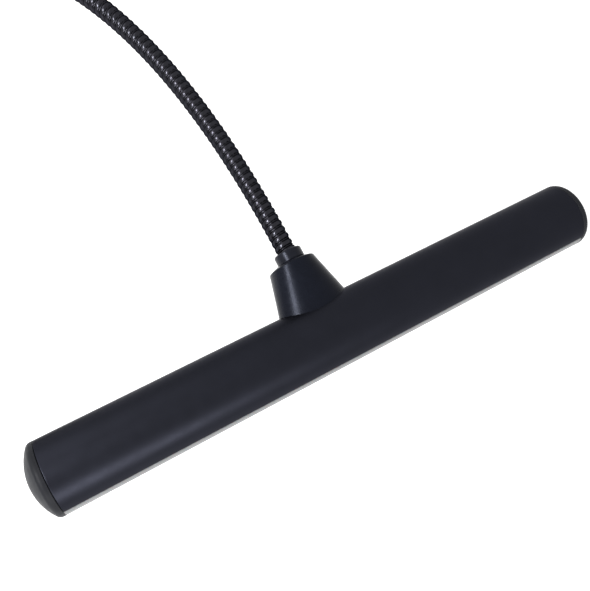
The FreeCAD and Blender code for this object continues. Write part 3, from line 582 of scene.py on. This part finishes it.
def rib_tree():
    """The wound hose along its curve: a wide flat rib and a thin wire, wound right-handed."""
    tree = bpy.data.node_groups.new("Wound hose", "GeometryNodeTree")
    face = tree.interface
    face.new_socket("Geometry", in_out="INPUT", socket_type="NodeSocketGeometry")
    face.new_socket("Geometry", in_out="OUTPUT", socket_type="NodeSocketGeometry")
    for name in ("Foot", "Foot handle", "Tip handle", "Tip"):
        face.new_socket(name, in_out="INPUT", socket_type="NodeSocketVector")
    for name in ("Ribs", "Rings per rib", "Sides"):
        face.new_socket(name, in_out="INPUT", socket_type="NodeSocketInt")
    for name in ("First rib", "Last rib", "Crest radius", "Groove radius", "Wire radius",
                 "Rib middle", "Rib half width", "Wire middle", "Wire half width"):
        face.new_socket(name, in_out="INPUT", socket_type="NodeSocketFloat")
    face.new_socket("Finish", in_out="INPUT", socket_type="NodeSocketMaterial")
    given = add(tree, "NodeGroupInput").outputs

    def math_node(operation, *values):
        return add(tree, "ShaderNodeMath", dict(enumerate(values)), operation=operation).outputs[0]

    line = add(tree, "GeometryNodeCurvePrimitiveBezierSegment", {
        "Resolution": CURVE_STEPS, "Start": given["Foot"], "Start Handle": given["Foot handle"],
        "End Handle": given["Tip handle"], "End": given["Tip"]}, mode="POSITION")
    rings = math_node("ADD", math_node("MULTIPLY", given["Ribs"], given["Rings per rib"]), 1.0)
    even = add(tree, "GeometryNodeResampleCurve", {"Curve": line.outputs[0], "Count": rings}, mode="COUNT")
    along = math_node("MULTIPLY", add(tree, "GeometryNodeSplineParameter").outputs["Factor"], given["Ribs"])
    kept_along = add(tree, "GeometryNodeCaptureAttribute", {"Geometry": even.outputs[0]})
    kept_along.capture_items.new("FLOAT", "Along")
    tree.links.new(along, kept_along.inputs[1])
    centre = add(tree, "GeometryNodeCaptureAttribute", {"Geometry": kept_along.outputs[0]})
    centre.capture_items.new("VECTOR", "Centre")
    tree.links.new(add(tree, "GeometryNodeInputPosition").outputs[0], centre.inputs[1])
    circle = add(tree, "GeometryNodeCurvePrimitiveCircle", {
        "Resolution": given["Sides"], "Radius": given["Groove radius"]})
    around = add(tree, "GeometryNodeCaptureAttribute", {"Geometry": circle.outputs[0]})
    around.capture_items.new("FLOAT", "Around")
    tree.links.new(add(tree, "GeometryNodeSplineParameter").outputs["Factor"], around.inputs[1])
    skin = add(tree, "GeometryNodeCurveToMesh", {
        "Curve": centre.outputs[0], "Profile Curve": around.outputs[0]})
    # where a point lies across its rib, from 0 to 1; whole turns are added to keep it above zero
    wound = math_node("SUBTRACT", kept_along.outputs[1], around.outputs[1])
    phase = math_node("FRACT", math_node("ADD", wound, 8.0))

    def ridge(middle, half_width, power):
        """1 on the middle of a ridge, falling to 0 at its sides as an ellipse does, or more squarely."""
        share = math_node("DIVIDE", math_node("ABSOLUTE", math_node("SUBTRACT", phase, middle)), half_width)
        rest = math_node("MAXIMUM", math_node("SUBTRACT", 1.0, math_node("POWER", share, power)), 0.0)
        return math_node("POWER", rest, 0.5)

    rib = math_node("MULTIPLY", ridge(given["Rib middle"], given["Rib half width"], RIB_POWER),
                    math_node("SUBTRACT", given["Crest radius"], given["Groove radius"]))
    wire = math_node("MULTIPLY", ridge(given["Wire middle"], given["Wire half width"], WIRE_POWER),
                     math_node("SUBTRACT", given["Wire radius"], given["Groove radius"]))
    outward = add(tree, "ShaderNodeVectorMath", {
        0: add(tree, "GeometryNodeInputPosition").outputs[0], 1: centre.outputs[1]}, operation="SUBTRACT")
    unit = add(tree, "ShaderNodeVectorMath", {0: outward.outputs[0]}, operation="NORMALIZE")
    lift = add(tree, "ShaderNodeVectorMath", {0: unit.outputs[0]}, operation="SCALE")
    tree.links.new(math_node("MAXIMUM", rib, wire), lift.inputs["Scale"])
    raised = add(tree, "GeometryNodeSetPosition", {"Geometry": skin.outputs[0], "Offset": lift.outputs[0]})
    before = add(tree, "FunctionNodeCompare", {
        "A": kept_along.outputs[1], "B": given["First rib"]}, operation="LESS_THAN")
    past = add(tree, "FunctionNodeCompare", {
        "A": kept_along.outputs[1], "B": given["Last rib"]}, operation="GREATER_THAN")
    outside = add(tree, "FunctionNodeBooleanMath", {0: before.outputs[0], 1: past.outputs[0]}, operation="OR")
    part = add(tree, "GeometryNodeDeleteGeometry", {
        "Geometry": raised.outputs[0], "Selection": outside.outputs[0]}, domain="FACE")
    real = add(tree, "GeometryNodeRealizeInstances", {"Geometry": part.outputs[0]})
    finished = add(tree, "GeometryNodeSetMaterial", {
        "Geometry": real.outputs[0], "Material": given["Finish"]})
    add(tree, "NodeGroupOutput", {0: finished.outputs[0]})
    return tree


def grown(name, tree, values):
    """The plain mesh that a tree of geometry nodes makes from named inputs."""
    host = bpy.data.objects.new(name + "_host", bpy.data.meshes.new(name + "_host"))
    bpy.context.scene.collection.objects.link(host)
    modifier = host.modifiers.new("Grow", "NODES")
    modifier.node_group = tree
    sockets = {item.name: item.identifier for item in tree.interface.items_tree if item.in_out == "INPUT"}
    for key, value in values.items():
        modifier[sockets[key]] = value
    graph = bpy.context.evaluated_depsgraph_get()
    mesh = bpy.data.meshes.new_from_object(host.evaluated_get(graph))
    host.modifiers.clear()
    bpy.data.objects.remove(host)
    mesh.name = name
    obj = bpy.data.objects.new(name, mesh)
    bpy.context.scene.collection.objects.link(obj)
    return obj


def neck_hose():
    """Ten lengths of one wound hose along the neck's curve; each stands in place of one link and lies over
    the joint in its middle.
    """
    tree = rib_tree()
    total = JOINTS * RIBS_PER_LINK
    nodes = [f"neck_link_{i}" for i in range(1, JOINTS)] + ["neck_tip"]
    for k in range(JOINTS):
        first, last = k * RIBS_PER_LINK, (k + 1) * RIBS_PER_LINK
        hose = grown(f"neck_hose_{k + 1}", tree, {
            "Foot": NECK_POLES[0], "Foot handle": NECK_POLES[1],
            "Tip handle": NECK_POLES[2], "Tip": NECK_POLES[3],
            "Ribs": total, "Rings per rib": RINGS_PER_RIB, "Sides": HOSE_SIDES,
            "First rib": float(first), "Last rib": float(last),
            "Crest radius": CREST_RADIUS, "Groove radius": GROOVE_RADIUS, "Wire radius": WIRE_RADIUS,
            "Rib middle": RIB_MIDDLE, "Rib half width": RIB_HALF_WIDTH,
            "Wire middle": WIRE_MIDDLE, "Wire half width": WIRE_HALF_WIDTH,
            "Finish": FINISH["neck_steel"]})
        close_ends(hose)
        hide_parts(*(["neck_foot"] if k == 0 else []), nodes[k])
        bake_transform(hose)


def close_ends(obj):
    """Cap the open ends of a tube mesh and turn its faces outwards."""
    shape = bmesh.new()
    shape.from_mesh(obj.data)
    bmesh.ops.remove_doubles(shape, verts=shape.verts, dist=MERGE_DISTANCE)
    rim = [edge for edge in shape.edges if edge.is_boundary]
    bmesh.ops.holes_fill(shape, edges=rim, sides=0)
    bmesh.ops.recalc_face_normals(shape, faces=shape.faces)
    shape.to_mesh(obj.data)
    shape.free()
    obj.data.polygons.foreach_set("use_smooth", [True] * len(obj.data.polygons))
    obj.data.set_sharp_from_angle(angle=HOSE_SHARP_ANGLE)


def box_shape(low, high):
    """A block from its low to its high corner."""
    shape = bmesh.new()
    place = Matrix.Translation((low + high) / 2) @ Matrix.Diagonal((*(high - low), 1))
    bmesh.ops.create_cube(shape, size=1, matrix=place)
    return shape


def cut_box(obj, low, high):
    """Cut a rectangular hole through a mesh."""
    mesh = bpy.data.meshes.new("cutter")
    shape = box_shape(low, high)
    shape.to_mesh(mesh)
    shape.free()
    carve(obj, mesh)


def cut_rod(obj, radius, low, high, axis):
    """Cut a round hole along an axis matrix from low to high."""
    mesh = bpy.data.meshes.new("cutter")
    shape = bmesh.new()
    place = axis @ Matrix.Translation((0, 0, (low + high) / 2))
    bmesh.ops.create_cone(shape, cap_ends=True, segments=CUT_SIDES, radius1=radius, radius2=radius,
                          depth=high - low, matrix=place)
    shape.to_mesh(mesh)
    shape.free()
    carve(obj, mesh)


def carve(obj, cutter_mesh):
    """Take the cutter out of a mesh for good."""
    cutter = bpy.data.objects.new("cutter", cutter_mesh)
    bpy.context.scene.collection.objects.link(cutter)
    modifier = obj.modifiers.new("Cut", "BOOLEAN")
    modifier.operation = "DIFFERENCE"
    modifier.solver = "EXACT"
    modifier.object = cutter
    graph = bpy.context.evaluated_depsgraph_get()
    mesh = bpy.data.meshes.new_from_object(obj.evaluated_get(graph))
    obj.modifiers.clear()
    obj.data = mesh
    bpy.data.objects.remove(cutter)
    tidy(obj)


def base_cover():
    """The painted shell: a straight side, a soft shoulder and a flat top, open underneath."""
    radius, low, high = shell_high.x, shell_low.z, shell_high.z
    wall, bend = SHELL_WALL, SHELL_BEND
    outer_edge, inner_edge = SHELL_FOOT_EDGES
    outline = rounded([(0, high, 0), (radius, high, bend), (radius, low, outer_edge),
                       (radius - wall, low, inner_edge), (radius - wall, high - wall, bend - wall),
                       (0, high - wall, 0)])
    cover = turned("base_cover", outline, Matrix.Identity(4), "base_paint", BASE_SIDES)
    middle = (bezel_low + bezel_high) / 2
    cut_box(cover, Vector((-SWITCH_HOLE.x, middle.y - SWITCH_HOLE.y, high - 2 * wall)),
            Vector((SWITCH_HOLE.x, middle.y + SWITCH_HOLE.y, high + wall)))
    jack_z = (jack_low.z + jack_high.z) / 2
    cut_rod(cover, JACK_HOLE, radius - JACK_CUT_IN, radius + JACK_CUT_OUT,
            Matrix.Translation((0, 0, jack_z)) @ Y_AXIS)
    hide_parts("base_shell")
    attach(cover, "base")


def socket():
    """The turned socket that the hose stands in."""
    radius = (socket_high.x - socket_low.x) / 2
    low, high = shell_high.z, socket_high.z
    bore = CREST_RADIUS + SOCKET_BORE_GAP
    outline = rounded([(0, low - SOCKET_SINK, 0), (radius, low - SOCKET_SINK, 0), (radius, high, SOCKET_EDGE),
                       (bore, high, SOCKET_LIP), (bore, high - SOCKET_SINK, 0), (0, high - SOCKET_SINK, 0)])
    piece = turned("neck_socket_turned", outline, Matrix.Identity(4), "socket_paint", SMALL_SIDES)
    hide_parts("neck_socket")
    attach(piece, "base")


def foot_pad():
    """The foam pad that the lamp stands on, its edges softened."""
    radius, thick = pad_high.x, pad_high.z
    low_edge, high_edge = PAD_EDGES
    outline = rounded([(0, 0, 0), (radius, 0, low_edge), (radius, thick, high_edge), (0, thick, 0)])
    pad = turned("foot_pad_foam", outline, Matrix.Identity(4), "pad_foam")
    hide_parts("foot_pad")
    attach(pad, "base")


def rounded_box(name, low, high, radius, finish):
    """A block with its edges rounded."""
    mesh = bpy.data.meshes.new(name)
    obj = bpy.data.objects.new(name, mesh)
    bpy.context.scene.collection.objects.link(obj)
    shape = box_shape(low, high)
    bmesh.ops.bevel(shape, geom=list(shape.edges), offset=radius, segments=4, profile=0.5, affect="EDGES")
    shape.to_mesh(mesh)
    shape.free()
    tidy(obj)
    mesh.materials.append(FINISH[finish])
    return obj


def switch():
    """The rocker's bezel on the shell and its housing below, both open for the rocker."""
    top = shell_high.z
    middle = (bezel_low + bezel_high) / 2
    bezel = rounded_box("switch_bezel", Vector((bezel_low.x, bezel_low.y, top)), bezel_high,
                        BEZEL_EDGE, "switch_plastic")
    body = rounded_box("switch_housing", Vector((-HOUSING_HALF_X, middle.y - HOUSING_HALF_Y, bezel_low.z)),
                       Vector((HOUSING_HALF_X, middle.y + HOUSING_HALF_Y, top)),
                       HOUSING_EDGE, "switch_plastic")
    for piece, well in ((bezel, BEZEL_WELL), (body, HOUSING_WELL)):
        cut_box(piece, Vector((-ROCKER_WELL.x, middle.y - ROCKER_WELL.y, top - well)),
                Vector((ROCKER_WELL.x, middle.y + ROCKER_WELL.y, top + WELL_ABOVE)))
    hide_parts("switch_body")
    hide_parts("switch_body")
    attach(bezel, "base")
    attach(body, "base")


def studio_floor():
    """A plain white floor that keeps a soft shadow and glows more with distance."""
    mesh = bpy.data.meshes.new("studio_floor")
    corners = [(x * FLOOR_HALF, y * FLOOR_HALF, 0) for x, y in ((-1, -1), (1, -1), (1, 1), (-1, 1))]
    mesh.from_pydata(corners, [], [(0, 1, 2, 3)])
    floor = bpy.data.objects.new("studio_floor", mesh)
    bpy.context.scene.collection.objects.link(floor)
    mat = bpy.data.materials.new("white paper floor")
    mat.use_nodes = True
    tree = mat.node_tree
    tree.nodes.clear()
    place = add(tree, "ShaderNodeTexCoord").outputs["Object"]
    away = add(tree, "ShaderNodeVectorMath", {0: place}, operation="LENGTH").outputs["Value"]
    # the glow rises where the lamps no longer reach, so that the floor ends as white as the surround
    spread = add(tree, "ShaderNodeMapRange", {
        "Value": away, "From Min": FLOOR_GLOW_NEAR, "From Max": FLOOR_GLOW_FAR,
        "To Min": FLOOR_GLOW, "To Max": 1.0})
    strength = add(tree, "ShaderNodeMath", {0: seen_rays(tree), 1: spread.outputs[0]}, operation="MULTIPLY")
    glow = add(tree, "ShaderNodeEmission", {"Color": linear("#ffffff"), "Strength": strength.outputs[0]})
    paper = add(tree, "ShaderNodeBsdfDiffuse", {"Color": linear("#f2f2f2")})
    both = add(tree, "ShaderNodeAddShader", {0: glow.outputs[0], 1: paper.outputs[0]})
    add(tree, "ShaderNodeOutputMaterial", {"Surface": both.outputs[0]})
    mesh.materials.append(mat)


def seen_rays(tree):
    """1 for a ray that shows the surface itself, straight, reflected or through glass, and 0 for others."""
    path = add(tree, "ShaderNodeLightPath")
    some = add(tree, "ShaderNodeMath", {
        0: path.outputs["Is Camera Ray"], 1: path.outputs["Is Glossy Ray"]}, operation="ADD")
    every = add(tree, "ShaderNodeMath", {
        0: some.outputs[0], 1: path.outputs["Is Transmission Ray"]}, operation="ADD", use_clamp=True)
    return every.outputs[0]


def world():
    """A white surround that is seen at full strength and lights the lamp only a little."""
    surround = bpy.data.worlds.new("White studio")
    bpy.context.scene.world = surround
    surround.use_nodes = True
    tree = surround.node_tree
    tree.nodes.clear()
    strength = add(tree, "ShaderNodeMapRange", {
        "Value": seen_rays(tree), "To Min": WORLD_LIGHT, "To Max": 1.0})
    light = add(tree, "ShaderNodeBackground", {"Color": linear("#ffffff"), "Strength": strength.outputs[0]})
    add(tree, "ShaderNodeOutputWorld", {"Surface": light.outputs[0]})


def lamp(name, way, width, height, power):
    """A soft lamp on the given side of the head, turned to it."""
    data = bpy.data.lights.new(name, "AREA")
    data.shape = "RECTANGLE"
    data.size, data.size_y, data.energy = width, height, power
    obj = bpy.data.objects.new(name, data)
    bpy.context.scene.collection.objects.link(obj)
    back = Vector(way).normalized()
    obj.location = HEAD + back * LAMP_DISTANCE
    obj.rotation_euler = (-back).to_track_quat("-Z", "Y").to_euler()


def camera():
    """The photograph's view: from above the head, a little in front of it and to its left."""
    data = bpy.data.cameras.new("Camera")
    data.sensor_width = SENSOR_WIDTH
    data.sensor_fit = "AUTO"
    data.lens = FOCAL_PIXELS * data.sensor_width / max(PHOTO_WIDTH, PHOTO_HEIGHT)
    obj = bpy.data.objects.new("Camera", data)
    bpy.context.scene.collection.objects.link(obj)
    obj.location = HEAD + CAMERA_PLACE
    obj.rotation_euler = [math.radians(turn) for turn in CAMERA_TURNS]
    bpy.context.scene.camera = obj


def dress_solids():
    """Give each piece that is kept as it was built its own finish."""
    for obj in frame["nodes"].values():
        slot = obj.data.materials[0].name.split(".")[0]
        obj.data.materials.clear()
        obj.data.materials.append(FINISH[slot])


FINISH = make_materials()
camera()
world()
studio_floor()
lamp("side lamp", (-0.66, 0.16, 0.74), 0.5, 0.24, 14)
lamp("back lamp", (-0.5, 0.75, 0.45), 1.0, 1.0, 4.5)
lamp("front lamp", (-0.42, -0.78, 0.47), 1.3, 0.4, 13)
dress_solids()
head_tube()
end_caps()
collar_cone()
collar_ring()
lens()
neck_hose()
base_cover()
socket()
foot_pad()
switch()

bpy.context.scene.view_settings.view_transform = "Standard"
